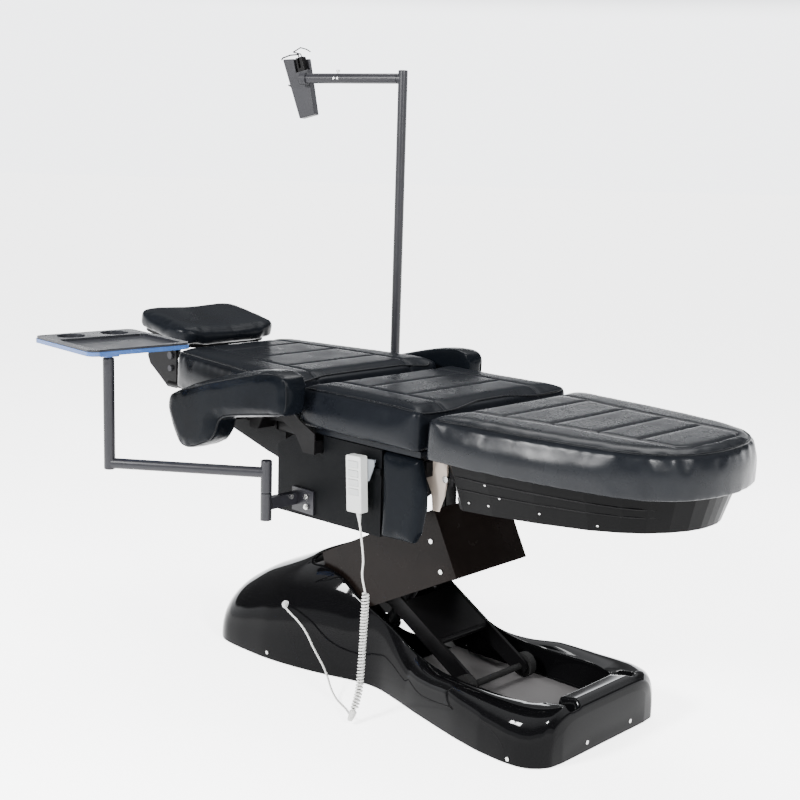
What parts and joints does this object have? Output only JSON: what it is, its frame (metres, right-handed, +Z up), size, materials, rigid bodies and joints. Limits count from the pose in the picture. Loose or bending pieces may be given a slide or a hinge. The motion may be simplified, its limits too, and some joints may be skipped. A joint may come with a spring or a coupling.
{
  "type": "massage couch",
  "caption": "Powered massage couch with cushioned seat, backrest, leg rest, headrest and armrests on a scissor-like arm lift, with tray, pole, holder and corded handset.",
  "frame": {"origin": "on the floor under the middle of the base, at the underside of the middle floor strip", "axes": "+X towards the foot end, -Y towards the side with the tray and the handset, +Z up"},
  "size_m": [1.922, 1.1112, 1.6295],
  "materials": {
    "black_shell": "gloss",
    "black_paint": "satin",
    "brown_paint": "satin",
    "leather": "matte",
    "panel": "matte",
    "steel": "satin",
    "beige": "satin",
    "rubber": "matte",
    "wood": "matte",
    "white": "satin",
    "clip": "gloss",
    "motor": "satin",
    "tray": "satin",
    "blue": "gloss"
  },
  "bodies": {
    "base": {"base_frame": "black_paint", "floor_pads": "rubber", "base_cover": "black_shell", "base_cover_screws": "steel", "cord_gland": "white", "control_box": "motor", "mains_inlet": "motor", "base_pivot_pins": "steel", "cord_lead": "white", "cord_coil": "white", "cord_tail": "white"},
    "lift_arm": {"lift_arm": "black_paint", "arm_cover": "brown_paint", "arm_cover_screws": "steel", "lift_arm_pins": "steel"},
    "level_link": {"level_link": "black_paint"},
    "lower_fork": {"lower_fork": "black_paint", "fork_rollers": "steel"},
    "lift_motor": {"lift_motor": "motor"},
    "lift_rod": {"lift_motor_rod": "steel"},
    "platform": {"seat_frame": "black_paint", "seat_board": "wood", "seat_cushion": "leather", "side_panels": "panel", "side_pads": "leather", "tray_bracket": "black_paint", "pole_bracket": "black_paint", "bracket_bolts": "steel", "section_hinge_pins": "steel", "leg_hinge_brackets": "beige", "back_motor": "motor", "leg_motor": "motor"},
    "backrest": {"back_frame": "black_paint", "back_cushion": "leather", "back_under_cover": "panel"},
    "headrest_carriage": {"headrest_carriage": "black_paint", "headrest_bolts": "steel"},
    "headrest": {"headrest_board": "black_paint", "headrest_pillow": "leather"},
    "armrest_near": {"armrest_near": "leather"},
    "armrest_far": {"armrest_far": "leather"},
    "back_rod": {"back_motor_rod": "steel"},
    "legrest": {"leg_frame": "black_paint", "leg_cushion": "leather", "leg_pan": "black_paint"},
    "leg_rod": {"leg_motor_rod": "steel"},
    "tray_arm": {"tray_arm": "black_paint"},
    "tray": {"tray_top": "tray", "tray_rim": "blue"},
    "pole": {"pole": "black_paint"},
    "top_arm": {"top_arm": "black_paint", "arm_collar": "steel"},
    "holder": {"holder_body": "motor"},
    "holder_jaw": {"holder_jaw": "steel"},
    "handset": {"handset_body": "white", "handset_clip": "clip"},
    "key_1": {"handset_key_1": "white"},
    "key_2": {"handset_key_2": "white"},
    "key_3": {"handset_key_3": "white"},
    "key_4": {"handset_key_4": "white"}
  },
  "joints": [
    {"name": "lift", "type": "hinge", "parent": "base", "child": "lift_arm", "pos_m": [-0.42, 0, 0.068], "axis": [0, -1, 0], "range_deg": [-11, 8]},
    {"name": "level_link_pivot", "type": "hinge", "parent": "base", "child": "level_link", "pos_m": [-0.44456, 0, 0.11155], "axis": [0, -1, 0], "range_deg": [-11, 8]},
    {"name": "fork_pivot", "type": "hinge", "parent": "lift_arm", "child": "lower_fork", "pos_m": [-0.07, 0, 0.2654], "axis": [0, -1, 0], "range_deg": [-16, 22]},
    {"name": "platform_level", "type": "hinge", "parent": "lift_arm", "child": "platform", "pos_m": [0.12, 0, 0.37256], "axis": [0, -1, 0], "range_deg": [-8, 11]},
    {"name": "lift_motor_tilt", "type": "hinge", "parent": "base", "child": "lift_motor", "pos_m": [-0.12, 0, 0.045], "axis": [0, -1, 0], "range_deg": [-16, 12]},
    {"name": "lift_rod_slide", "type": "slide", "parent": "lift_motor", "child": "lift_rod", "axis": [0.533, 0, 0.8461], "range_m": [-0.05, 0.037]},
    {"name": "backrest", "type": "hinge", "parent": "platform", "child": "backrest", "pos_m": [-0.275, 0, 0.705], "axis": [0, 1, 0], "range_deg": [0, 70]},
    {"name": "back_rod_slide", "type": "slide", "parent": "platform", "child": "back_rod", "axis": [-1, 0, 0], "range_m": [0, 0.139]},
    {"name": "armrest_near_level", "type": "hinge", "parent": "backrest", "child": "armrest_near", "pos_m": [-0.43, -0.33, 0.65], "axis": [0, 1, 0], "range_deg": [-70, 0]},
    {"name": "armrest_far_level", "type": "hinge", "parent": "backrest", "child": "armrest_far", "pos_m": [-0.43, 0.33, 0.65], "axis": [0, 1, 0], "range_deg": [-70, 0]},
    {"name": "headrest_slide", "type": "slide", "parent": "backrest", "child": "headrest_carriage", "axis": [-1, 0, 0], "range_m": [0, 0.08]},
    {"name": "headrest_tilt", "type": "hinge", "parent": "headrest_carriage", "child": "headrest", "pos_m": [-0.917, 0, 0.721], "axis": [0, 1, 0], "range_deg": [-25, 0]},
    {"name": "legrest", "type": "hinge", "parent": "platform", "child": "legrest", "pos_m": [0.285, 0, 0.6], "axis": [0, 1, 0], "range_deg": [0, 50]},
    {"name": "leg_rod_slide", "type": "slide", "parent": "platform", "child": "leg_rod", "axis": [1, 0, 0], "range_m": [-0.0595, 0]},
    {"name": "tray_swing", "type": "hinge", "parent": "platform", "child": "tray_arm", "pos_m": [-0.17, -0.362, 0.5], "axis": [0, 0, 1], "range_deg": [-10, 100]},
    {"name": "tray_turn", "type": "hinge", "parent": "tray_arm", "child": "tray", "pos_m": [-0.488, -0.597, 0.82], "axis": [0, 0, 1], "range_deg": [-40, 90]},
    {"name": "pole_swing", "type": "hinge", "parent": "platform", "child": "pole", "pos_m": [-0.17, 0.362, 0.5], "axis": [0, 0, 1], "range_deg": [-90, 5]},
    {"name": "top_arm_slide", "type": "slide", "parent": "pole", "child": "top_arm", "axis": [-0.9498, -0.3127, 0], "range_m": [0, 0.06]},
    {"name": "holder_turn", "type": "hinge", "parent": "top_arm", "child": "holder", "pos_m": [-0.85, 0.333, 1.537], "axis": [-0.9498, -0.3127, 0], "range_deg": [-60, 60]},
    {"name": "holder_clamp", "type": "slide", "parent": "holder", "child": "holder_jaw", "axis": [-0.2298, -0.0756, 0.9703], "range_m": [0, 0.04], "stiffness_N_per_m": 400},
    {"name": "handset_hang", "type": "slide", "parent": "base", "child": "handset", "axis": [-0.4718, 0, 0.8817], "range_m": [-0.12, 0.088], "deforming": ["cord_lead"]},
    {"name": "key_1_rock", "type": "hinge", "parent": "handset", "child": "key_1", "pos_m": [0.06405, -0.2944, 0.60603], "axis": [0.9986, 0, 0.0523], "range_deg": [-4, 4], "stiffness_Nm_per_rad": 0.3},
    {"name": "key_2_rock", "type": "hinge", "parent": "handset", "child": "key_2", "pos_m": [0.0652, -0.2944, 0.58406], "axis": [0.9986, 0, 0.0523], "range_deg": [-4, 4], "stiffness_Nm_per_rad": 0.3},
    {"name": "key_3_rock", "type": "hinge", "parent": "handset", "child": "key_3", "pos_m": [0.06635, -0.2944, 0.56209], "axis": [0.9986, 0, 0.0523], "range_deg": [-4, 4], "stiffness_Nm_per_rad": 0.3},
    {"name": "key_4_rock", "type": "hinge", "parent": "handset", "child": "key_4", "pos_m": [0.0675, -0.2944, 0.54012], "axis": [0.9986, 0, 0.0523], "range_deg": [-4, 4], "stiffness_Nm_per_rad": 0.3}
  ],
  "couplings": [
    {"joint": "level_link_pivot", "follows": "lift", "ratio": 1},
    {"joint": "fork_pivot", "follows": "lift", "ratio": -2},
    {"joint": "platform_level", "follows": "lift", "ratio": -1},
    {"joint": "lift_motor_tilt", "follows": "lift", "ratio": 1.43},
    {"joint": "lift_rod_slide", "follows": "lift", "m_per_rad": 0.2578},
    {"joint": "handset_hang", "follows": "lift", "m_per_rad": 0.6147},
    {"joint": "back_rod_slide", "follows": "backrest", "m_per_rad": 0.113},
    {"joint": "armrest_near_level", "follows": "backrest", "ratio": -1},
    {"joint": "armrest_far_level", "follows": "backrest", "ratio": -1},
    {"joint": "leg_rod_slide", "follows": "legrest", "m_per_rad": -0.0678}
  ]
}
